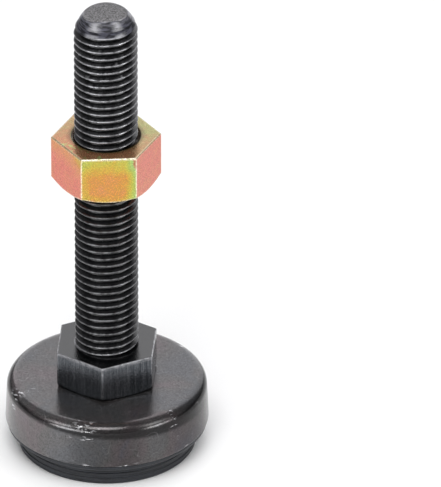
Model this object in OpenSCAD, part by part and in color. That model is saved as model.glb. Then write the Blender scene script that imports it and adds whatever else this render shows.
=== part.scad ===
// Furniture leveling foot: a threaded stud with a hex head, riveted into a pressed steel cup
// that holds a rubber pad, with a lock nut on the stud. Millimetres, +Z up, origin on the floor
// at the centre of the pad.

/* [Thread] */
// Nominal diameter of the thread
thread_d = 16; // [14:0.5:17]
// Distance from one thread crest to the next
pitch = 2; // [1.5:0.25:2.5]
// Length of the stud above its head
stud_length = 96; // [80:1:120]
// Diameter of the flat face at the tip
tip_d = 10.6; // [9:0.2:12]
// Height of the tip's chamfer
tip_chamfer = 3.4; // [2:0.2:4]
// Crest diameter from the nut down, a little smaller so that the free end is a wall of its own
run_crest_d = 15.66; // [15.5:0.01:15.68]

/* [Hexagons] */
// Width across the flats of the head and of the nut
across_flats = 24; // [22:0.5:27]
// Height of the stud's head
head_h = 10; // [8:0.5:12]
// Angle of the chamfer under the head
head_chamfer_angle = 20; // [15:1:30]
// Height of the lock nut
nut_h = 13; // [10:0.5:16]
// Angle of the chamfer under the nut
nut_chamfer_angle = 30; // [15:1:30]
// Gap between the head and the nut
nut_gap = 47.3; // [10:0.1:60]
// Diameter of the countersinks in the nut
nut_sink_d = 17.6; // [17.2:0.1:19]
// Turn of the head about the stud
head_turn = 25.7; // [0:0.1:60]
// Turn of the nut about the stud
nut_turn = 3.6; // [0:0.1:60]

/* [Cup] */
// Outer diameter of the cup at its lip
cup_lip_d = 51.2; // [49:0.1:54]
// Outer diameter of the cup just under its rim
cup_rim_d = 50.2; // [48.5:0.1:51]
// Height of the cup from lip to top
cup_h = 11.7; // [10.5:0.1:14]
// Thickness of the cup's sheet steel
cup_wall = 1.8; // [1.2:0.1:2]
// Outer radius of the rounded rim
rim_r = 2.7; // [2.4:0.1:4]

/* [Rubber pad] */
// Diameter of the pad where it meets the floor
pad_d = 44.8; // [42:0.1:46]
// Height of the cup's lip above the floor
pad_h = 6.8; // [5:0.1:9]
// Diameter of the thin flange under the cup's lip
flange_d = 50.6; // [48:0.1:51]
// Height of that flange
flange_h = 1.2; // [0.8:0.1:2]
// Radius of the rounded edge at the floor
pad_edge_r = 1; // [0.5:0.1:1.5]
// Depth of the hollow and of the grip grooves in the sole
sole_depth = 1; // [0.5:0.1:1.5]

/* [Rivet] */
// Diameter of the spigot that passes through the cup
spigot_d = 10; // [8:0.5:12]
// Diameter of the peened rivet head
rivet_d = 15; // [14:0.5:17]
// Height of the peened rivet head
rivet_h = 2.4; // [1.8:0.1:3]
// Outer diameter of the retaining washer
washer_d = 22; // [18:0.5:24]
// Thickness of the retaining washer
washer_h = 2; // [1.5:0.1:2.5]

/* [Hidden] */
$fn = 96;

// Clearances: spigot in its holes, play along the axis, and the nut over the crests
spigot_gap = 0.1;
play = 0.1;
nut_gap_radial = 0.05;

// Metric thread form: crest and root flats, and depth, as shares of the pitch
crest_flat = pitch / 8;
root_flat = pitch / 6;
thread_depth = 0.6134 * pitch;
major_r = thread_d / 2;
root_r = major_r - thread_depth;

// Heights above the floor
cup_top_z = pad_h + cup_h;
cup_inner_z = cup_top_z - cup_wall;
head_z = cup_top_z + play;
bearing_z = head_z + head_h;
tip_z = bearing_z + stud_length;
nut_z = bearing_z + nut_gap;
nut_top_z = nut_z + nut_h;
washer_z = cup_inner_z - washer_h;
rivet_z = washer_z - play;

// The round face left by the chamfer under each hexagon, and the hexagon's corners
corner_d = across_flats / cos(30);
hex_face_r = 0.475 * across_flats;

// The rubber stays this far inside the cup, and the pocket this far round the washer and rivet
rubber_gap = 0.05;
pocket_gap = 1;
rim_inner_r = rim_r - cup_wall;
skirt_slope = (cup_lip_d - cup_rim_d) / 2 / (cup_h - rim_r);

// Grip grooves in the sole, as radii, and the hollow inside them
groove_radii = [15.2, 17.4, 19.6];
groove_w = 1;
hollow_r = 12.6;
arc_steps = 10;
cut = 0.1;

// Points of an arc about [x, z] from angle a to angle b
function arc(x, z, r, a, b) =
    [for (i = [0:arc_steps]) let (t = a + (b - a) * i / arc_steps) [x + r * cos(t), z + r * sin(t)]];

// Outer radius of the skirt at a height
function skirt_r(z) = cup_lip_d / 2 - (z - pad_h) * skirt_slope;

// Height and radius of the i-th thread ring's crest
ring_count = ceil((stud_length - tip_chamfer / 2) / pitch);
function crest_z(i) = bearing_z + (i + 0.5) * pitch;
function crest_r(i) = crest_z(i) > nut_top_z ? major_r : run_crest_d / 2;

// One ring of the thread, from root to crest and back
function ring(i) = [
    [root_r, crest_z(i) - (pitch - root_flat) / 2],
    [crest_r(i), crest_z(i) - crest_flat / 2],
    [crest_r(i), crest_z(i) + crest_flat / 2],
    [root_r, crest_z(i) + (pitch - root_flat) / 2],
];

// A hexagonal prism with a conical chamfer under it
module hexagon(h, chamfer_angle) {
    intersection() {
        cylinder(d = corner_d, h = h, $fn = 6);
        cylinder(r1 = hex_face_r, r2 = hex_face_r + h / tan(chamfer_angle), h = h);
    }
}

// The thread as a stack of rings of its pitch, cut to a cone at the tip
module thread() {
    rings = [for (i = [0:ring_count - 1]) for (p = ring(i)) p];
    rotate_extrude()
        intersection() {
            polygon(concat([[0, bearing_z - cut], [root_r, bearing_z - cut]], rings,
                [[root_r, tip_z + cut], [0, tip_z + cut]]));
            polygon([[0, bearing_z - cut], [major_r + cut, bearing_z - cut], [major_r + cut, tip_z - tip_chamfer],
                [major_r, tip_z - tip_chamfer], [tip_d / 2, tip_z], [0, tip_z]]);
        }
}

// Threaded bolt: thread, hex head, spigot and the rivet head peened under the washer
module threaded_stud() {
    color("#26282a") {
        thread();
        translate([0, 0, head_z]) rotate(head_turn) hexagon(head_h, head_chamfer_angle);
        translate([0, 0, rivet_z - cut]) cylinder(d = spigot_d, h = head_z - rivet_z + 2 * cut);
        rotate_extrude()
            polygon(concat([[0, rivet_z], [0, rivet_z - rivet_h]],
                arc(rivet_d / 2 - rivet_h * 0.6, rivet_z - rivet_h * 0.4, rivet_h * 0.6, -90, 0),
                [[rivet_d / 2, rivet_z]]));
    }
}

// Hex nut with a countersink at each end of its bore
module lock_nut() {
    bore_r = major_r + nut_gap_radial;
    sink_h = (nut_sink_d / 2 - bore_r) / tan(60);
    color("#d3a24e")
        translate([0, 0, nut_z])
            difference() {
                rotate(nut_turn) hexagon(nut_h, nut_chamfer_angle);
                translate([0, 0, -cut]) cylinder(r = bore_r, h = nut_h + 2 * cut);
                cylinder(r1 = nut_sink_d / 2, r2 = bore_r, h = sink_h);
                translate([0, 0, nut_h - sink_h]) cylinder(r1 = bore_r, r2 = nut_sink_d / 2, h = sink_h);
            }
}

// Pressed cup: flat top with a hole for the spigot, rounded rim, flared skirt
module steel_cup() {
    rim_centre_r = cup_rim_d / 2 - rim_r;
    rim_centre_z = cup_top_z - rim_r;
    color("#5b5555")
        rotate_extrude()
            polygon(concat([[spigot_d / 2 + spigot_gap, cup_inner_z]],
                arc(rim_centre_r, rim_centre_z, rim_inner_r, 90, 0),
                [[skirt_r(pad_h) - cup_wall, pad_h], [skirt_r(pad_h), pad_h]],
                arc(rim_centre_r, rim_centre_z, rim_r, 0, 90),
                [[spigot_d / 2 + spigot_gap, cup_top_z]]));
}

// Washer between the cup's top wall and the rivet head
module retaining_washer() {
    color("#8f9296")
        translate([0, 0, washer_z])
            difference() {
                cylinder(d = washer_d, h = washer_h);
                translate([0, 0, -cut]) cylinder(r = spigot_d / 2 + spigot_gap, h = washer_h + 2 * cut);
            }
}

// Rubber pad: sole, flange under the lip, and the plug that fills the cup round the rivet
module rubber_pad() {
    plug_corner_r = rim_inner_r + cup_wall;
    plug_top_z = cup_inner_z - rubber_gap;
    inset = cup_wall + rubber_gap;
    pocket_r = washer_d / 2 + pocket_gap;
    pocket_z = rivet_z - rivet_h - pocket_gap;
    color("#2e3135")
        difference() {
            rotate_extrude()
                polygon(concat([[0, 0]],
                    arc(pad_d / 2 - pad_edge_r, pad_edge_r, pad_edge_r, -90, 0),
                    [[pad_d / 2, pad_h - flange_h], [flange_d / 2, pad_h - flange_h], [flange_d / 2, pad_h],
                    [skirt_r(pad_h) - inset, pad_h]],
                    arc(skirt_r(cup_top_z) - inset - plug_corner_r, plug_top_z - plug_corner_r, plug_corner_r, 0, 90),
                    [[pocket_r, plug_top_z], [pocket_r, pocket_z], [0, pocket_z]]));
            translate([0, 0, -cut]) cylinder(r = hollow_r, h = sole_depth + cut);
            for (r = groove_radii)
                rotate_extrude()
                    translate([r - groove_w / 2, -cut]) square([groove_w, sole_depth + cut]);
        }
}

threaded_stud();
lock_nut();
steel_cup();
rubber_pad();
retaining_washer();
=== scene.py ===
import math

import bmesh
import bpy
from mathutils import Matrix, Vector, noise


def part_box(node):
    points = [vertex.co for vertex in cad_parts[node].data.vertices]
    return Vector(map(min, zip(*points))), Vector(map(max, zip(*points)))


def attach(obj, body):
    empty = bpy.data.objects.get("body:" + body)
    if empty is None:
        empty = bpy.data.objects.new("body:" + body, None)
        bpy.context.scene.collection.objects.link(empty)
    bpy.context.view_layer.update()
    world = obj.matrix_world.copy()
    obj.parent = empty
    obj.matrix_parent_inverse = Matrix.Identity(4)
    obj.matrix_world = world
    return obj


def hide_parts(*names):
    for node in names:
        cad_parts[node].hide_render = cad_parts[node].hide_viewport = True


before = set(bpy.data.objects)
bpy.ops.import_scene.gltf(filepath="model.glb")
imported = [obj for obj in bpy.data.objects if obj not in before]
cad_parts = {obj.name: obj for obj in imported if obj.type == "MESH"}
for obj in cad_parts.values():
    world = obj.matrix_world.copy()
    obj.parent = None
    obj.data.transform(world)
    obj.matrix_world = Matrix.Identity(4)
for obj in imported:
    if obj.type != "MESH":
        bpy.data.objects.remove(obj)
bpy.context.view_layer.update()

MM = 0.001

# Sizes in millimetres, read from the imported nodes
CUP_LO, CUP_HI = (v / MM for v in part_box("steel_cup"))
NUT_LO, NUT_HI = (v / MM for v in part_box("lock_nut"))
STUD_LO, STUD_HI = (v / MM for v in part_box("threaded_stud"))
PAD_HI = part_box("rubber_pad")[1] / MM
WASHER_LO, WASHER_HI = (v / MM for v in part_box("retaining_washer"))

PITCH = 2.0
MAJOR_R = 8.0
THREAD_DEPTH = 0.6134 * PITCH
ROOT_R = MAJOR_R - THREAD_DEPTH
APOTHEM = 12.0
HEX_FACE_R = 11.4
HEAD_SLOPE, NUT_SLOPE = math.tan(math.radians(20)), math.tan(math.radians(30))
HEAD_TURN, NUT_TURN = math.radians(25.7), math.radians(3.6)
PLAY = 0.1
SPIGOT_GAP = 0.1
CUP_WALL = 1.8
HEAD_Z = CUP_HI.z + PLAY
HEAD_H = 10.0
BEARING_Z = HEAD_Z + HEAD_H
TIP_Z = STUD_HI.z
# The end face's radius, how far its edge lies below the tip, and how far below the tip the thread is full,
# each at the right, back, left and front
FACE_R = (5.5, 5.4, 5.7, 4.5)
FACE_DROP = (0.8, 0.5, 1.2, 0.4)
FULL_DEPTH = (4.2, 4.0, 5.0, 3.4)
# Painted highlights (glints) on the end's chamfer, on the thread's crests and on the end face's edge:
# (degrees, half width in radians)
CONE_GLINTS = ((-117, 0.38), (-61, 0.3), (10, 0.4), (78, 0.4), (160, 0.5))
CREST_GLINTS = ((-106, 0.5), (-62, 0.35), (20, 0.8), (130, 0.8))
EDGE_GLINTS = ((-92, 0.28), (-40, 0.2), (60, 0.5), (170, 0.3))
# Knocked places on the cup's rim and on its lip, in the same form
RIM_KNOCKS = ((-103, 0.2), (-160, 0.14), (-48, 0.05), (35, 0.1), (110, 0.14))
LIP_KNOCKS = ((-102, 0.09), (-77, 0.16), (-38, 0.12), (75, 0.2), (165, 0.25))
SPIGOT_R, RIVET_R = 5.0, 7.5
# The thickest passivation film on the nut, on the scale that its colours are given in
FILM_MAX = 1.5
# Points in a row of the stud and nut, and in a row of the round parts
COLUMNS = 90
ROUND = 192
# In metres: points closer than this become one, and edges shorter than this go
MERGE_DISTANCE, SLIVER = 1.5e-6, 2e-7
SHARP_ANGLE = math.radians(38)


# ---------------------------------------------------------------- mesh code

def smooth(a, b, x):
    """0 at a, 1 at b, and a smooth step between them."""
    t = min(max((x - a) / (b - a), 0.0), 1.0)
    return t * t * (3 - 2 * t)


def rounded(corners, steps=4, support=0.25, closed=False):
    """A polyline with its corners rounded: corners are (x, y, radius). A support point follows each arc."""
    out, n = [], len(corners)
    for k, (x, y, rad) in enumerate(corners):
        here = Vector((x, y))
        if rad <= 0 or (not closed and k in (0, n - 1)):
            out.append((x, y))
            continue
        before = Vector(corners[k - 1][:2]) - here
        after = Vector(corners[(k + 1) % n][:2]) - here
        bend = math.pi - before.angle(after)
        reach = rad * math.tan(bend / 2)
        a, b = here + before.normalized() * reach, here + after.normalized() * reach
        centre = here + (before.normalized() + after.normalized()).normalized() * (rad / math.cos(bend / 2))
        va, vb = a - centre, b - centre
        if before.length > reach + 2 * support:
            out.append(tuple(a + before.normalized() * support))
        for i in range(steps + 1):
            t = i / steps
            d = (va * math.sin((1 - t) * bend) + vb * math.sin(t * bend)) / math.sin(bend)
            out.append(tuple(centre + d))
        if after.length > reach + 2 * support:
            out.append(tuple(b + after.normalized() * support))
    return out


def circle(r, z, n, start=0.0, wear_and_painted_glint=0.0):
    """A row of n points on a circle, or one point on the axis."""
    if r <= 1e-6:
        return [(0.0, 0.0, z, wear_and_painted_glint)]
    step = 2 * math.pi / n
    return [(r * math.cos(start + i * step), r * math.sin(start + i * step), z, wear_and_painted_glint) for i in range(n)]


def hexagon_row(apothem, turn, corner_r, height, wear_and_painted_glint=0.0, corner_wear=None):
    """A row on a hexagon with rounded corners. height is a number, or a function of the distance from
    the axis."""
    per = COLUMNS // 6
    row = []
    for s in range(6):
        mid = turn + s * math.pi / 3
        cx = (apothem - corner_r) / math.cos(math.pi / 6)
        half = (apothem - corner_r) * math.tan(math.pi / 6)
        for k in range(per):
            on_corner = k < 3 or k > per - 3
            if on_corner:
                kk, m = (k, mid) if k < 3 else (k - per, mid + math.pi / 3)
                t = m + kk / 2 * math.pi / 6
                x = cx * math.cos(m) + corner_r * math.cos(t)
                y = cx * math.sin(m) + corner_r * math.sin(t)
            else:
                f = mid + math.pi / 6
                share = {3: 0.02, per - 3: 0.98}.get(k, (k - 2) / (per - 4))
                along = half * (2 * share - 1)
                x = apothem * math.cos(f) - along * math.sin(f)
                y = apothem * math.sin(f) + along * math.cos(f)
            z = height(math.hypot(x, y)) if callable(height) else height
            row.append((x, y, z, corner_wear if on_corner and corner_wear is not None else wear_and_painted_glint))
    return row


def paint(rows, tone=0.0, end_face_and_painted_shade=0.0, rub_and_painted_highlight=1.0):
    """Adds the tone and grime marks to rows of points, and scales their wear by rub. Each of the three
    is a number, or a function of the point's place."""
    def at(value, *place):
        return value(*place) if callable(value) else value

    return [[(x, y, z, w * at(rub_and_painted_highlight, x, y, z), at(tone, x, y, z), at(end_face_and_painted_shade, x, y, z)) for x, y, z, w in row]
            for row in rows]


def blend_rows(a, b, t):
    return [tuple(p + (q - p) * t for p, q in zip(u, v)) for u, v in zip(a, b)]


def helix_rows(profile, z_low, z_high, start, limit):
    """Rows of a right-hand thread. profile is (phase, radius, wear) over one pitch, and
    limit(r, z, angle) trims a point. Points outside z_low to z_high are drawn onto those planes."""
    rows, per = [], len(profile)
    turns = math.ceil((z_high - z_low) / PITCH) + 3
    table = [(u, r, w) for u, r, w in profile] + [(1 + profile[0][0], *profile[0][1:])]

    def radius(phase):
        u = (phase - table[0][0]) % 1.0 + table[0][0]
        for (u0, r0, w0), (u1, r1, w1) in zip(table, table[1:]):
            if u0 <= u <= u1:
                t = (u - u0) / max(u1 - u0, 1e-9)
                return r0 + (r1 - r0) * t, w0 + (w1 - w0) * t
        return table[-1][1:]

    first = math.floor((z_low - BEARING_Z) / PITCH - start / (2 * math.pi)) - 1
    for k in range(turns):
        for u, r, w in profile:
            row = []
            for i in range(COLUMNS):
                angle = start + 2 * math.pi * i / COLUMNS
                turned = angle / (2 * math.pi)
                z = BEARING_Z + PITCH * (first + k + u + turned)
                rr, ww = r, w
                if z < z_low or z > z_high:
                    z = min(max(z, z_low), z_high)
                    rr, ww = radius((z - BEARING_Z) / PITCH - turned)
                kept = limit(rr, z, angle)
                if kept != rr:
                    rr, ww = kept, ww * smooth(0.25, 0.0, abs(kept - rr))
                row.append((rr * math.cos(angle), rr * math.sin(angle), z, ww))
            rows.append(row)
    return rows, per


def skin(name, blocks, loop=False):
    """Joins rows of points into one closed mesh. A block is a list of rows, or (rows, rows per pitch)
    for a thread, where the rows per pitch are negative if the rows run downwards."""
    bm = bmesh.new()
    marks = [bm.verts.layers.float.new(mark) for mark in ("wear_and_painted_glint", "tone", "end_face_and_painted_shade")]
    made = []
    for block in blocks:
        rows, per = block if isinstance(block, tuple) else (block, 0)
        grid = []
        for row in rows:
            line = []
            for p in row:
                v = bm.verts.new([c * MM for c in p[:3]])
                for mark, value in zip(marks, p[3:]):
                    v[mark] = value
                line.append(v)
            grid.append(line)
        made.append((grid, per))

    def strip(a, b):
        n = max(len(a), len(b))
        if len(a) == 1 and len(b) == 1:
            return
        for i in range(n):
            j = (i + 1) % n
            if len(a) == 1:
                bm.faces.new((a[0], b[j], b[i]))
            elif len(b) == 1:
                bm.faces.new((a[i], a[j], b[0]))
            else:
                bm.faces.new((a[i], a[j], b[j], b[i]))

    last = None
    for grid, per in made:
        if last:
            strip(last, grid[0])
        if per:
            n = len(grid[0])
            for j in range(len(grid) - 1):
                for i in range(n - 1):
                    bm.faces.new((grid[j][i], grid[j][i + 1], grid[j + 1][i + 1], grid[j + 1][i]))
                if 0 <= j + per and j + 1 + per < len(grid):
                    bm.faces.new((grid[j][-1], grid[j + per][0], grid[j + 1 + per][0], grid[j + 1][-1]))
        else:
            for a, b in zip(grid, grid[1:]):
                strip(a, b)
        last = grid[-1]
    if loop:
        strip(last, made[0][0][0])
    bmesh.ops.remove_doubles(bm, verts=bm.verts, dist=MERGE_DISTANCE)
    bmesh.ops.dissolve_degenerate(bm, dist=SLIVER, edges=bm.edges)
    bmesh.ops.recalc_face_normals(bm, faces=bm.faces)
    for f in bm.faces:
        f.smooth = True
    for e in bm.edges:
        if len(e.link_faces) == 2 and e.calc_face_angle(0) > SHARP_ANGLE:
            e.smooth = False
    me = bpy.data.meshes.new(name)
    bm.to_mesh(me)
    bm.free()
    obj = bpy.data.objects.new(name, me)
    bpy.context.scene.collection.objects.link(obj)
    return obj


def lathe(name, outline, loop=True, wear_and_painted_glint=None, end_face_and_painted_shade=0.0, tone=0.0, rub_and_painted_highlight=1.0):
    """A round piece from its outline of (radius, height) points."""
    rows = [circle(r, z, ROUND, wear_and_painted_glint=wear_and_painted_glint(r, z) if wear_and_painted_glint else 0.0) for r, z in outline]
    return skin(name, [paint(rows, tone, end_face_and_painted_shade, rub_and_painted_highlight)], loop)


def place(obj, node, body, slot, material):
    """Puts a piece on its body in place of its CAD node, with its material."""
    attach(obj, body)
    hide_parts(node)
    obj.data.materials.append(material)


# ---------------------------------------------------------------- materials

def linear(r, g, b):
    """A linear colour from an sRGB one in levels out of 255."""
    def channel(c):
        return ((c / 255 + 0.055) / 1.055) ** 2.4 if c > 10 else c / 255 / 12.92

    return channel(r), channel(g), channel(b), 1.0


class Nodes:
    """A few short ways of adding shader nodes."""

    def __init__(self, tree):
        self.tree = tree

    def add(self, kind, props=None, **inputs):
        node = self.tree.nodes.new(kind)
        for key, value in (props or {}).items():
            setattr(node, key, value)
        for key, value in inputs.items():
            numbered = key[0] == "i" and key[1:].isdigit()
            self.set(node.inputs[int(key[1:]) if numbered else key.replace("_", " ")], value)
        return node

    def set(self, socket, value):
        if isinstance(value, bpy.types.NodeSocket):
            self.tree.links.new(value, socket)
        else:
            socket.default_value = value

    def place_mm(self, scale=(1, 1, 1), shift=0.0):
        """The object's own coordinates, in millimetres."""
        at = self.add("ShaderNodeTexCoord").outputs["Object"]
        per_metre = tuple(s / MM for s in scale)
        return self.add("ShaderNodeMapping", i0=at, i1=(shift,) * 3, i3=per_metre).outputs[0]

    def height_mm(self):
        at = self.add("ShaderNodeTexCoord").outputs["Object"]
        return self.math("DIVIDE", self.add("ShaderNodeSeparateXYZ", Vector=at).outputs[2], MM)

    def noise(self, at, scale, detail=3.0, roughness=0.55, distortion=0.0):
        node = self.add("ShaderNodeTexNoise", Vector=at, Scale=scale, Detail=detail)
        self.set(node.inputs["Roughness"], roughness)
        self.set(node.inputs["Distortion"], distortion)
        return node.outputs[0]

    def ramp(self, value, stops):
        node = self.add("ShaderNodeValToRGB", Fac=value)
        while len(node.color_ramp.elements) < len(stops):
            node.color_ramp.elements.new(0.5)
        for element, (at, colour) in zip(node.color_ramp.elements, stops):
            element.position = at
            element.color = colour if isinstance(colour, tuple) else (colour,) * 3 + (1.0,)
        return node.outputs[0]

    def spread(self, value, low, high, to_low, to_high):
        node = self.add("ShaderNodeMapRange", Value=value)
        for key, v in zip(("From Min", "From Max", "To Min", "To Max"), (low, high, to_low, to_high)):
            self.set(node.inputs[key], v)
        return node.outputs[0]

    def math(self, op, a, b=0.0):
        return self.add("ShaderNodeMath", {"operation": op}, i0=a, i1=b).outputs[0]

    def mix(self, fac, a, b, blend="MIX"):
        node = self.add("ShaderNodeMix", {"data_type": "RGBA", "blend_type": blend})
        for key, v in ((0, fac), (6, a), (7, b)):
            self.set(node.inputs[key], v)
        return node.outputs[2]

    def scratches(self, scale, width, shift):
        """1 on thin curved lines that come and go, 0 elsewhere."""
        wave = self.noise(self.place_mm(shift=shift), scale, 1.0)
        line = self.spread(self.math("ABSOLUTE", self.math("SUBTRACT", wave, 0.5)), 0.0, width, 1.0, 0.0)
        where = self.noise(self.place_mm(shift=shift + 50), scale * 1.7, 1.0)
        return self.math("MULTIPLY", line, self.spread(where, 0.56, 0.62, 0.0, 1.0))

    def attribute(self, name):
        return self.add("ShaderNodeAttribute", {"attribute_name": name}).outputs["Fac"]

    def bump(self, height, depth_mm):
        return self.add("ShaderNodeBump", Height=height, Distance=depth_mm * MM, Strength=1.0).outputs[0]


def material(name, **fixed):
    """A new material, its nodes and its shader. fixed gives the values that are uniform over the surface."""
    m = bpy.data.materials.new(name)
    m.use_nodes = True
    shader = m.node_tree.nodes["Principled BSDF"]
    for key, value in fixed.items():
        shader.inputs[key.replace("_", " ")].default_value = value
    return m, Nodes(m.node_tree), shader


def black_steel():
    m, n, s = material("black_plated_steel", IOR=1.5)
    at, z = n.place_mm(), n.height_mm()
    worn_and_painted_glint, flat, end = n.attribute("wear_and_painted_glint"), n.attribute("tone"), n.attribute("end_face_and_painted_shade")
    patches = n.noise(at, 0.8, 4.0)
    fine = n.noise(at, 2.6, 4.0, 0.7)
    streaks = n.noise(n.place_mm((2.8, 2.8, 0.06)), 1.0, 4.0, 0.7)
    near_tip = n.spread(z, TIP_Z - 4.6, TIP_Z - 3.4, 0.0, 1.0)
    # The crests are painted brighter above the nut and just above the head: abrasion with painted highlights
    lightened = n.math("ADD", n.spread(z, 84, 94, 0.42, 0.95),
                    n.spread(z, BEARING_Z, BEARING_Z + 4, 0.53, 0.0))
    turned = n.noise(n.place_mm((0.4, 0.4, 3.2)), 1.0, 4.0)
    uneven = n.math("MAXIMUM", n.spread(patches, 0.38, 0.6, 0.25, 1.0),
                    n.math("MULTIPLY", near_tip, n.spread(turned, 0.4, 0.58, 0.45, 1.0)))
    # The crests' abrasion, carrying the painted glints and painted highlights
    crest = n.math("MULTIPLY", n.math("MULTIPLY", worn_and_painted_glint, lightened), uneven)
    coat = n.ramp(patches, [(0.3, linear(3, 3, 4)), (0.7, linear(10, 11, 12))])
    side = n.ramp(n.math("ADD", n.math("MULTIPLY", streaks, 0.6), n.math("MULTIPLY", fine, 0.4)),
                  [(0.4, linear(54, 57, 61)), (0.5, linear(76, 79, 83)), (0.6, linear(106, 108, 112))])
    coat = n.mix(flat, coat, side)
    oxide = n.math("MULTIPLY", near_tip, n.spread(turned, 0.44, 0.6, 0.03, 0.3))
    coat = n.mix(oxide, coat, linear(124, 124, 140))
    face = n.ramp(fine, [
        (0.36, linear(66, 66, 67)), (0.46, linear(92, 91, 92)), (0.6, linear(126, 125, 127))])
    coat = n.mix(end, coat, face)
    n.set(s.inputs["Base Color"], n.mix(crest, coat, linear(176, 176, 180)))
    n.set(s.inputs["Specular IOR Level"], n.spread(near_tip, 0.0, 1.0, 0.5, 0.12))
    bare = n.math("SUBTRACT", 1.0, end)
    metal = n.math("MAXIMUM", n.math("MAXIMUM", crest, oxide), flat)
    metal = n.math("MULTIPLY", metal, n.spread(near_tip, 0, 1, 0.9, 0.4))
    n.set(s.inputs["Metallic"], n.math("MULTIPLY", bare, metal))
    matt = n.math("ADD", n.math("MULTIPLY", end, 0.4), n.math("MULTIPLY", near_tip, 0.3))
    n.set(s.inputs["Roughness"], n.math("ADD", n.spread(fine, 0.3, 0.7, 0.08, 0.22), matt))
    lines = n.math("MULTIPLY", turned, near_tip)
    relief = n.math("ADD", n.math("MULTIPLY", streaks, flat), n.math("ADD", fine, lines))
    n.set(s.inputs["Normal"], n.bump(relief, 0.03))
    return m


def yellow_zinc():
    m, n, s = material("yellow_passivated_zinc", Metallic=0.72)
    at = n.place_mm()
    film, worn_and_painted_glint, end_face_and_painted_shade = n.attribute("tone"), n.attribute("wear_and_painted_glint"), n.attribute("end_face_and_painted_shade")
    cloudy = n.spread(n.noise(at, 0.45, 4.0, 0.6, 0.6), 0.3, 0.7, -0.09, 0.09)
    mottled = n.spread(n.noise(at, 1.7, 4.0, 0.75), 0.3, 0.7, -0.06, 0.06)
    tone = n.math("DIVIDE", n.math("ADD", n.math("ADD", film, cloudy), mottled), FILM_MAX)
    colour = n.ramp(tone, [(thickness / FILM_MAX, linear(*shade)) for thickness, shade in (
        (0.0, (212, 121, 105)), (0.2, (210, 140, 98)), (0.38, (201, 142, 70)), (0.56, (195, 168, 70)),
        (0.75, (178, 180, 80)), (1.0, (158, 190, 114)), (1.08, (176, 118, 86)), (1.3, (160, 132, 92)),
        (FILM_MAX, (152, 150, 98)))])
    grain = n.ramp(n.noise(at, 2.7, 4.0, 0.8), [(0.34, 0.57), (0.46, 0.89), (0.6, 1.04)])
    colour = n.mix(1.0, colour, grain, "MULTIPLY")
    rubs = n.scratches(0.5, 0.02, 11.0)
    colour = n.mix(n.math("MULTIPLY", rubs, 0.18), colour, linear(236, 222, 180))
    # Painted shade: near black over the nut's inner thread, and darker round the countersink on its top
    colour = n.mix(n.math("MULTIPLY", end_face_and_painted_shade, 0.92), colour, linear(20, 16, 14))
    broken = n.spread(n.noise(at, 1.3, 3.0), 0.38, 0.5, 0.35, 1.0)
    # Painted highlight: the front face's top edge is painted whiter than the other top edges
    chipped_and_painted_highlight = n.math("MULTIPLY", n.math("POWER", worn_and_painted_glint, 4.0), broken)
    n.set(s.inputs["Base Color"], n.mix(chipped_and_painted_highlight, colour, linear(250, 240, 215)))
    n.set(s.inputs["Roughness"], n.spread(n.noise(at, 3.0, 3.0), 0.3, 0.7, 0.18, 0.34))
    n.set(s.inputs["Normal"], n.bump(n.noise(at, 2.8, 4.0, 0.7), 0.02))
    return m


def dark_cup_steel():
    m, n, s = material("dark_plated_sheet_steel", Metallic=0.72)
    at = n.place_mm()
    worn_and_painted_glint, painted_dark_band, painted_light_by_side = n.attribute("wear_and_painted_glint"), n.attribute("end_face_and_painted_shade"), n.attribute("tone")
    tint = n.ramp(n.noise(at, 0.07, 3.0, 0.5, 0.8), [
        (0.36, linear(105, 106, 109)), (0.5, linear(108, 106, 106)), (0.6, linear(115, 107, 109)),
        (0.7, linear(110, 107, 114))])
    grain = n.ramp(n.noise(at, 2.2, 5.0, 0.8), [(0.36, 0.5), (0.46, 0.88), (0.54, 1.06), (0.64, 1.35)])
    # Painted light and shade: the colour is scaled by the side-to-side painted light
    colour = n.mix(1.0, tint, n.mix(1.0, grain, painted_light_by_side, "MULTIPLY"), "MULTIPLY")
    pits = n.ramp(n.noise(at, 1.1, 2.0), [(0.24, 0.25), (0.3, 1.0)])
    colour = n.mix(0.8, colour, pits, "MULTIPLY")
    # Painted shade: the dark ring under the rim is painted into the colour
    colour = n.mix(n.math("MULTIPLY", painted_dark_band, 0.8), colour, linear(12, 11, 12))
    lines = n.math("MAXIMUM", n.scratches(0.16, 0.006, 3.0), n.scratches(0.24, 0.006, 27.0))
    colour = n.mix(n.math("MULTIPLY", lines, 0.15), colour, linear(205, 203, 206))
    nicks = n.spread(n.noise(n.place_mm((0.5, 0.5, 2)), 1.3, 1.0), 0.56, 0.62, 0.0, 1.0)
    nicks = n.math("MULTIPLY", worn_and_painted_glint, nicks)
    n.set(s.inputs["Base Color"], n.mix(nicks, colour, linear(235, 235, 238)))
    n.set(s.inputs["Roughness"], n.spread(n.noise(at, 2.0, 4.0, 0.7), 0.3, 0.7, 0.12, 0.26))
    n.set(s.inputs["Normal"], n.bump(n.noise(at, 2.4, 4.0, 0.7), 0.022))
    return m


def black_rubber():
    m, n, s = material("black_rubber", IOR=1.42)
    at = n.place_mm()
    rings = n.noise(n.place_mm((0.12, 0.12, 3.4)), 1.0, 3.0, 0.6)
    fine = n.noise(at, 2.5, 4.0, 0.7)
    mixed = n.math("ADD", n.math("MULTIPLY", rings, 0.55), n.math("MULTIPLY", fine, 0.45))
    n.set(s.inputs["Base Color"], n.ramp(mixed, [(0.38, linear(14, 15, 17)), (0.62, linear(44, 47, 53))]))
    n.set(s.inputs["Roughness"], n.spread(fine, 0.3, 0.7, 0.4, 0.6))
    n.set(s.inputs["Normal"], n.bump(mixed, 0.05))
    return m


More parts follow.
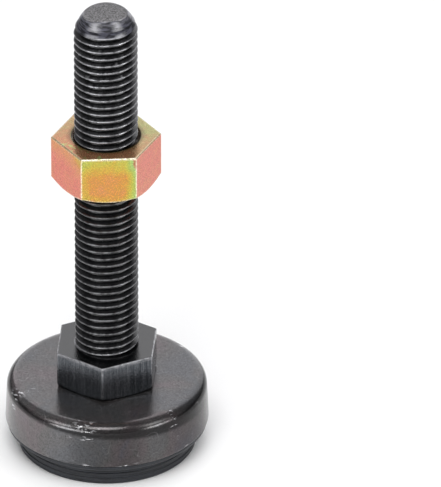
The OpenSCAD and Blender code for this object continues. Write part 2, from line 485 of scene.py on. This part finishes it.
def clear_zinc():
    m, n, s = material("clear_zinc", Metallic=1.0)
    at = n.place_mm()
    colour = n.ramp(n.noise(at, 1.5, 4.0), [(0.3, linear(168, 171, 178)), (0.7, linear(196, 198, 202))])
    n.set(s.inputs["Base Color"], colour)
    n.set(s.inputs["Roughness"], n.spread(n.noise(at, 3.0, 3.0), 0.3, 0.7, 0.3, 0.45))
    n.set(s.inputs["Normal"], n.bump(n.noise(at, 4.0, 3.0), 0.015))
    return m


# ---------------------------------------------------------------- the stud

# How far the support points of a thread profile lie from its roundings
PROFILE_SUPPORT = 0.12
# A radius outside every crest, so that crest_limit gives back its own limit
BEYOND_R = 9.0

def stud_profile():
    """One pitch of the external thread from root centre: (phase, radius, wear)."""
    half, crest, root = PITCH / 2, PITCH / 16, PITCH / 12
    line = rounded([(0, ROOT_R, 0), (root, ROOT_R, 0.2), (half - crest, MAJOR_R, 0.2), (half, MAJOR_R, 0)],
                   steps=2, support=PROFILE_SUPPORT)
    up = [(x / PITCH, r) for x, r in line]
    down = [(1 - u, r) for u, r in reversed(up[1:-1])]
    return [(u, r, smooth(MAJOR_R - 0.24, MAJOR_R - 0.04, r)) for u, r in up + down]


def lobed(angle, right, back, left, front):
    """A value that runs smoothly round the axis through the four given ones."""
    return ((right + back + left + front) / 4 + (right - left) / 2 * math.cos(angle)
            + (back - front) / 2 * math.sin(angle) + (right + left - back - front) / 4 * math.cos(2 * angle))


def near(angle, places):
    """1 at the places, which are (degrees, half width in radians), and 0 away from them."""
    def away(at):
        return abs(math.remainder(angle - math.radians(at), math.tau))

    return max(smooth(half, 0, away(at)) for at, half in places)


def crest_limit(r, z, angle):
    """The uneven chamfer of the sheared end, and small dents in the crests."""
    if z > TIP_Z - max(FULL_DEPTH):
        face, drop, full = (lobed(angle, *v) for v in (FACE_R, FACE_DROP, FULL_DEPTH))
        way = max((TIP_Z - z - drop) / (full - drop), 0.0)
        r = min(r, face + (MAJOR_R - face) * way ** 0.8)
    if r > MAJOR_R - 0.1:
        place = Vector((8 * math.cos(angle), 8 * math.sin(angle), z))
        depth = 0.07 + 0.06 * smooth(96, 112, z)
        r -= depth * smooth(0.15, 0.6, noise.noise(place * 0.9)) * (r - MAJOR_R + 0.1) / 0.1
    return r


def crest_wear_and_painted_glints(x, y, z, wear_and_painted_glint):
    """Painted highlights: the chamfer is painted bright in a few places, and the crests' uneven abrasion is
    painted brighter at a few places round the thread.
    """
    angle, r = math.atan2(y, x), math.hypot(x, y)
    if r < MAJOR_R - 0.15 and r > crest_limit(BEYOND_R, z, angle) - 0.01:
        return 0.02 + 0.8 * near(angle, CONE_GLINTS)
    return wear_and_painted_glint * (0.66 + 0.34 * near(angle, CREST_GLINTS))


def end_row(share, cut, wear_and_painted_glint):
    """A row on the domed end face up to share 1, its edge, and from there down the chamfer to the cut at
    share 2."""
    row = []
    for i in range(COLUMNS):
        angle = HEAD_TURN + 2 * math.pi * i / COLUMNS
        edge_z = TIP_Z - lobed(angle, *FACE_DROP)
        r, z = lobed(angle, *FACE_R) * share, TIP_Z - lobed(angle, *FACE_DROP) * share ** 2
        if share > 1:
            z = edge_z + (cut - edge_z) * (share - 1)
            r = crest_limit(BEYOND_R, z, angle)
        # Painted highlights: the edge and the chamfer are painted brighter at the glint places
        places = CONE_GLINTS if share > 1.1 else EDGE_GLINTS
        bright = wear_and_painted_glint * (0.15 + 0.85 * near(angle, places))
        row.append((r * math.cos(angle), r * math.sin(angle), z, bright))
    return row


def sides_up(start, outer, top, shares):
    """Rows from the start row straight up, at shares of the way to the top, with the outer row's wear."""
    return [[(x, y, z + (top - z) * t, w) for (x, y, z, _), (_, _, _, w) in zip(start, outer)]
            for t in shares]


def head_rows():
    """The hexagon from its round face below, up its sides and over its top to the thread."""
    edge, corner, top = 0.15, 0.35, BEARING_Z

    def under(r):
        return HEAD_Z + max(r - HEX_FACE_R, 0) * HEAD_SLOPE

    def ring(apothem, height, wear_and_painted_glint=0.0):
        return hexagon_row(apothem, HEAD_TURN, corner, height, wear_and_painted_glint)

    outer = hexagon_row(APOTHEM, HEAD_TURN, corner, 0.0, 0.0, 0.5)
    start = [(x, y, under(math.hypot(x, y)) + 0.15, 0.0) for x, y, _, _ in outer]
    shoulder = ring(APOTHEM - edge - 0.2, top)
    inner = circle(MAJOR_R + 0.35, top, COLUMNS, HEAD_TURN)
    return [
        circle(HEX_FACE_R - 0.4, HEAD_Z, COLUMNS, HEAD_TURN),
        circle(HEX_FACE_R, HEAD_Z, COLUMNS, HEAD_TURN),
        ring(APOTHEM - 0.3, under),
        ring(APOTHEM - 0.06, lambda r: under(r) + 0.03),
        start,
        *sides_up(start, outer, top - edge, (0.06, 0.3, 0.6, 0.9)),
        [(x, y, top - edge, 0.6) for x, y, _, _ in outer],
        ring(APOTHEM - 0.05, top - edge * 0.4, 1.0),
        ring(APOTHEM - 0.12, top - edge * 0.12, 1.0),
        ring(APOTHEM - edge, top, 0.5),
        shoulder,
        blend_rows(shoulder, inner, 0.33),
        blend_rows(shoulder, inner, 0.66),
        inner,
    ]


def make_stud():
    """Rivet head, spigot, hexagon, thread and end, from the bottom up."""
    rivet_top = WASHER_LO.z - PLAY
    below = [circle(r, z, COLUMNS, HEAD_TURN) for r, z in rounded([
        (0, STUD_LO.z, 0), (RIVET_R - 1.4, STUD_LO.z, 1.0), (RIVET_R, STUD_LO.z + 1.5, 0.6),
        (RIVET_R, rivet_top, 0.15), (SPIGOT_R, rivet_top, 0.12), (SPIGOT_R, HEAD_Z, 0.0)], support=0.2)]
    cut = TIP_Z - 1.4
    thread, per = helix_rows(stud_profile(), BEARING_Z, cut, HEAD_TURN, crest_limit)
    thread = [[(x, y, z, crest_wear_and_painted_glints(x, y, z, wear_and_painted_glint)) for x, y, z, wear_and_painted_glint in row] for row in thread]
    chamfer = [end_row(share, cut, wear_and_painted_glint) for share, wear_and_painted_glint in (
        (1.75, 0.8), (1.5, 0.8), (1.3, 0.8), (1.15, 0.5), (1.05, 0.4), (1.0, 1.0))]
    face = [end_row(share, cut, wear_and_painted_glint) for share, wear_and_painted_glint in (
        (0.985, 0.8), (0.96, 0.2), (0.9, 0), (0.8, 0), (0.6, 0), (0.4, 0), (0.2, 0))]
    face.append([(0.0, 0.0, TIP_Z, 0.0)])

    def side(x, y, z):
        return smooth(BEARING_Z, BEARING_Z - 0.3, z)

    return skin("stud_body", [
        paint(below), paint(head_rows(), tone=side), (paint(thread), per), paint(chamfer),
        paint(face, end_face_and_painted_shade=1.0)])


# ---------------------------------------------------------------- the lock nut

# The faces that the camera sees, as nut_face counts them
LEFT, FRONT, RIGHT = 3, 4, 5
# Radius of the countersinks where they meet the end faces
SINK_R = 8.8


def nut_profile():
    """One pitch of the internal thread from the nut's crest centre, clear of the stud's thread all round."""
    half, gap = PITCH / 2, 0.05 / math.cos(math.pi / 6)
    minor, major = 6.92, MAJOR_R + 0.06

    def tooth(r):
        return PITCH / 16 + (MAJOR_R - r) * math.tan(math.pi / 6) + gap

    line = rounded([(0, minor, 0), (half - tooth(minor), minor, 0.05), (half - tooth(major), major, 0.05),
                    (half, major, 0)], steps=2, support=PROFILE_SUPPORT)
    up = [(x / PITCH, r) for x, r in line]
    return [(u, r, 0.0) for u, r in up + [(1 - u, r) for u, r in reversed(up[1:-1])]]


def nut_face(x, y):
    """Which of the nut's six faces a point is on, and how far across it the point is, from -1 to 1."""
    flat = (math.atan2(y, x) - NUT_TURN) / (math.pi / 3)
    return math.floor(flat) % 6, (flat % 1.0) * 2 - 1


def film(x, y, z):
    """The passivation film's thickness, which differs from face to face and over each face."""
    up = (z - NUT_LO.z) / (NUT_HI.z - NUT_LO.z)
    face, across = nut_face(x, y)
    if up > 0.985:
        return 1.1 + 0.2 * smooth(-5, 5, y) + 0.2 * smooth(2, 11, x)
    if face == FRONT:
        return (0.36 + 0.28 * smooth(0.5, 0.95, up) + 0.12 * smooth(0.25, 0.0, up)
                + 0.5 * smooth(0.6, 0.95, across) + 0.16 * smooth(-0.72, -0.95, across))
    if face == LEFT:
        return 0.03 + 0.3 * smooth(0.2, 1.0, across) * smooth(0.35, 1.0, up) + 0.2 * smooth(0.55, 1.0, up)
    if face == RIGHT:
        return 0.02 + 0.06 * smooth(0.5, 0.0, up)
    return (0.1, 0.42, 0.2)[face] + 0.3 * smooth(-0.2, 1.0, across) * (0.4 + 0.6 * up)


def nut_wear_and_painted_highlight(x, y, z):
    """Full abrasion everywhere but at the top, where only the front face's top edge keeps it: a painted
    highlight on that edge.
    """
    return 1.0 if z < NUT_HI.z - 1 or nut_face(x, y)[0] == FRONT else 0.82


def sink_painted_shade(x, y, z):
    """Painted shade round the countersink on the nut's top."""
    return 0.5 * smooth(NUT_HI.z - 0.1, NUT_HI.z, z) * smooth(9.2, 8.95, math.hypot(x, y))


def nut_rows():
    """The outside from the lower countersink, up the sides and over the top to the upper countersink."""
    low, top, corner, edge = NUT_LO.z, NUT_HI.z, 0.3, 0.42

    def under(r):
        return low + max(r - HEX_FACE_R, 0) * NUT_SLOPE

    def ring(apothem, height, wear_and_painted_glint):
        return hexagon_row(apothem, NUT_TURN, corner, height, wear_and_painted_glint)

    outer = hexagon_row(APOTHEM, NUT_TURN, corner, 0.0, 0.0, 0.9)
    start = [(x, y, under(math.hypot(x, y)) + 0.3, 0.6) for x, y, _, _ in outer]
    flat = ring(APOTHEM - edge - 0.25, top, 0.0)
    inner = circle(SINK_R + 0.15, top, COLUMNS, NUT_TURN)
    return [
        circle(SINK_R + 0.15, low, COLUMNS, NUT_TURN),
        circle(HEX_FACE_R - 0.5, low, COLUMNS, NUT_TURN),
        circle(HEX_FACE_R, low, COLUMNS, NUT_TURN),
        ring(APOTHEM - 0.4, under, 0.0),
        ring(APOTHEM - 0.12, lambda r: under(r) + 0.02, 0.6),
        ring(APOTHEM - 0.03, lambda r: under(r) + 0.1, 1.0),
        start,
        *sides_up(start, outer, top - edge, (0.03, 0.1, 0.2, 0.3, 0.4, 0.5, 0.6, 0.7, 0.8, 0.9, 0.96)),
        [(x, y, top - edge, 0.85) for x, y, _, _ in outer],
        ring(APOTHEM - edge * 0.12, top - edge * 0.5, 1.0),
        ring(APOTHEM - edge * 0.45, top - edge * 0.15, 1.0),
        ring(APOTHEM - edge, top, 0.8),
        flat,
        *(blend_rows(flat, inner, t) for t in (0.33, 0.66, 1.0)),
    ]


def make_nut():
    """The nut's outside, and its thread from the top back down."""
    def sink(r, z, _):
        return max(r, SINK_R - min(z - NUT_LO.z, NUT_HI.z - z) * math.tan(math.pi / 3))

    thread, per = helix_rows(nut_profile(), NUT_LO.z, NUT_HI.z, NUT_TURN, sink)
    # The inner thread is painted dark all over: painted shade
    return skin("lock_nut_body", [
        paint(nut_rows(), film, sink_painted_shade, nut_wear_and_painted_highlight), (paint(thread[::-1], 0.4, 1.0), -per)], loop=True)


# ---------------------------------------------------------------- cup, pad and washer

def make_cup():
    lip_z, top, wall, lip_r = CUP_LO.z, CUP_HI.z, CUP_WALL, CUP_HI.x
    rim_r, hole = lip_r - 0.5, SPIGOT_R + SPIGOT_GAP
    outline = rounded([
        (hole, top - wall, 0.15), (rim_r - wall + 0.05, top - wall, 1.0), (lip_r - wall, lip_z, 0.35),
        (lip_r, lip_z, 0.5), (rim_r, top, 2.7), (hole, top, 0.25)], steps=8, support=0.4, closed=True)
    at = next(k for k, (a, b) in enumerate(zip(outline, outline[1:])) if a[0] > rim_r and b[1] - a[1] > 5)
    (r0, z0), (r1, z1) = outline[at:at + 2]
    rungs = 18
    outline[at + 1:at + 1] = [
        (r0 + (r1 - r0) * k / rungs, z0 + (z1 - z0) * k / rungs) for k in range(1, rungs)]

    def painted_dark_band(x, y, z):
        """Painted shade: a dark ring painted round the outside just under the rim's rounding, widest at the
        right and narrowest at the front."""
        angle = math.atan2(y, x)
        upper, lower = lobed(angle, 0.8, 1.6, 0.6, 2.2), lobed(angle, 4.6, 3.2, 1.9, 3.1)
        outside = math.hypot(x, y) > lip_r - 3.0
        from_above = smooth(top - upper + 0.4, top - upper, z)
        return outside * from_above * smooth(top - lower * 1.15 - 0.3, top - lower, z)

    def painted_light_by_side(x, y, z):
        """Painted light and shade: darkest at the right, with a dark stripe at the front, and one middling
        value over the flat top.
        """
        r = math.hypot(x, y)
        side = lobed(math.atan2(y, x), 0.2, 0.7, 0.84, 0.8) - 0.4 * smooth(0.88, 1.0, -y / r)
        return side + (0.53 - side) * smooth(rim_r - 0.6, rim_r - 2.4, r) * (z > top - 2.8)

    def lightened(r, z):
        """The rim's rounding, the line under it and the lip's lower edge."""
        if r < rim_r - 2.5:
            return 0.0
        return max(0.8 * smooth(1.3, 0.5, abs(z - (top - 0.9))), smooth(0.6, 0.2, abs(z - (top - 3.6))),
                   smooth(0.7, 0.3, z - lip_z))

    def knocked(x, y, z):
        return near(math.atan2(y, x), LIP_KNOCKS if z < lip_z + 2 else RIM_KNOCKS)

    return lathe("cup_shell", outline, wear_and_painted_glint=lightened, end_face_and_painted_shade=painted_dark_band, tone=painted_light_by_side, rub_and_painted_highlight=knocked)


def make_pad():
    lip_z, flange_r, body_r = CUP_LO.z, PAD_HI.x, 22.4
    inner, plug_top = CUP_HI.x - 1.85, PAD_HI.z
    sole = 1.0
    corners = [(0, sole, 0), (12.6, sole, 0.2), (12.9, 0, 0.25)]
    for r in (15.2, 17.4, 19.6):
        corners += [(r - 0.65, 0, 0.2), (r - 0.4, sole, 0.2), (r + 0.4, sole, 0.2), (r + 0.65, 0, 0.2)]
    corners += [(body_r, 0, 0.5)]
    for ring in (1.3, 2.7):
        corners += [(body_r, ring, 0.1), (body_r + 0.22, ring + 0.12, 0.12), (body_r + 0.2, ring + 0.5, 0.12),
                    (body_r, ring + 0.62, 0.1)]
    corners += [(body_r + 0.15, lip_z - 1.25, 0.3), (flange_r - 0.15, lip_z - 1.15, 0.35),
                (flange_r, lip_z, 0.25), (inner, lip_z, 0.1), (inner - 0.45, plug_top, 2.0),
                (12, plug_top, 0.3), (12, STUD_LO.z - 1.0, 0.3), (0, STUD_LO.z - 1.0, 0)]
    return lathe("pad_body", rounded(corners, steps=5, support=0.3), loop=False)


def make_washer():
    lo, hi, hole = WASHER_LO.z, WASHER_HI.z, SPIGOT_R + SPIGOT_GAP
    return lathe("washer_ring", rounded([(hole, lo, 0.15), (WASHER_HI.x, lo, 0.3), (WASHER_HI.x, hi, 0.5),
                                         (hole, hi, 0.25)], support=0.3, closed=True))


place(make_stud(), "threaded_stud", "stud", "stud_black", black_steel())
place(make_nut(), "lock_nut", "nut", "nut_yellow_zinc", yellow_zinc())
place(make_cup(), "steel_cup", "base", "cup_steel", dark_cup_steel())
place(make_pad(), "rubber_pad", "base", "pad_rubber", black_rubber())
place(make_washer(), "retaining_washer", "base", "washer_zinc", clear_zinc())


# ---------------------------------------------------------------- floor, lights and camera

# In metres
SOFTBOX_DISTANCE, SOFTBOX_AIM = 1.5, Vector((0, 0, 0.06))
CAMERA_DISTANCE, CAMERA_AIM = 4.6, Vector((28.58, 0, 57.15)) * MM
# The height that the picture spans at the aim point, fitted to the photograph
FRAME_HEIGHT = 122.0551378 * MM
CAMERA_ELEVATION = 31.2


def make_floor():
    half = 4.0
    me = bpy.data.meshes.new("floor")
    corners = [(-half, -half, 0), (half, -half, 0), (half, half, 0), (-half, half, 0)]
    me.from_pydata(corners, [], [(0, 1, 2, 3)])
    obj = bpy.data.objects.new("floor", me)
    bpy.context.scene.collection.objects.link(obj)
    m, n, s = material("pale_floor", Roughness=0.9)
    n.set(s.inputs["Base Color"], n.ramp(n.noise(n.place_mm(), 0.02, 2.0), [(0.3, 0.86), (0.7, 0.88)]))
    me.materials.append(m)


def direction(azimuth, elevation):
    """The unit vector towards a place round the object: azimuth 0 is the camera's side, and grows to the
    right."""
    a, e = math.radians(azimuth), math.radians(elevation)
    return Vector((math.sin(a) * math.cos(e), -math.cos(a) * math.cos(e), math.sin(e)))


def softbox(name, azimuth, elevation, width, height, radiance, shows=True):
    """A rectangular area light that faces the object. The radiance is how bright it looks in a mirror, and
    a light that does not show is left out of the reflections."""
    data = bpy.data.lights.new(name, "AREA")
    data.shape, data.size, data.size_y = "RECTANGLE", width, height
    data.energy = radiance * math.pi * width * height
    obj = bpy.data.objects.new(name, data)
    towards = direction(azimuth, elevation)
    obj.location = towards * SOFTBOX_DISTANCE + SOFTBOX_AIM
    obj.rotation_mode = "QUATERNION"
    obj.rotation_quaternion = towards.to_track_quat("Z", "Y")
    obj.visible_camera = False
    obj.visible_glossy = shows
    bpy.context.scene.collection.objects.link(obj)


def make_world():
    """A dim studio with a pale wall behind the object, soft light round the wall, and white below the
    horizon."""
    world = bpy.data.worlds.new("studio")
    bpy.context.scene.world = world
    world.use_nodes = True
    n = Nodes(world.node_tree)
    way = n.add("ShaderNodeTexCoord").outputs["Generated"]

    def patch(axis, outer, inner):
        """1 within inner degrees of the axis, 0 beyond outer."""
        dot = n.add("ShaderNodeVectorMath", {"operation": "DOT_PRODUCT"}, i0=way, i1=axis).outputs["Value"]
        node = n.add("ShaderNodeMapRange", {"interpolation_type": "SMOOTHSTEP"}, Value=dot)
        for key, angle in (("From Min", outer), ("From Max", inner)):
            n.set(node.inputs[key], math.cos(math.radians(angle)))
        return node.outputs[0]

    sky = n.mix(patch(direction(180, 20), 80, 40), (0.06, 0.06, 0.064, 1), (0.26, 0.26, 0.27, 1))
    sky = n.mix(patch(direction(171, 26), 34, 28), sky, (1.8, 1.8, 1.85, 1))
    below = n.math("LESS_THAN", n.add("ShaderNodeSeparateXYZ", Vector=way).outputs[2], 0.0)
    n.set(world.node_tree.nodes["Background"].inputs["Color"], n.mix(below, sky, (1.0, 1.0, 1.0, 1)))


def make_camera():
    data = bpy.data.cameras.new("camera")
    obj = bpy.data.objects.new("camera", data)
    bpy.context.scene.collection.objects.link(obj)
    data.sensor_width = 36.0
    data.lens = data.sensor_width * CAMERA_DISTANCE / FRAME_HEIGHT
    data.clip_start, data.clip_end = 0.1, 30.0
    back = direction(0, CAMERA_ELEVATION)
    obj.location = CAMERA_AIM + back * CAMERA_DISTANCE
    obj.rotation_mode = "QUATERNION"
    obj.rotation_quaternion = back.to_track_quat("Z", "Y")
    bpy.context.scene.camera = obj


make_floor()
make_world()
make_camera()
softbox("low_left_softbox", -42, 7, 1.1, 0.4, 6.5)
softbox("low_right_softbox", 60, 8, 0.8, 0.4, 7.5)
softbox("left_softbox", -57, 36, 0.6, 0.5, 2.8)
softbox("right_softbox", 60, 37, 0.6, 0.5, 2.6)
softbox("front_softbox", -4, 56, 0.8, 0.6, 6.5)
softbox("fill_light", 0, 76, 1.7, 1.7, 1.75, shows=False)
bpy.context.scene.view_settings.view_transform = "Standard"
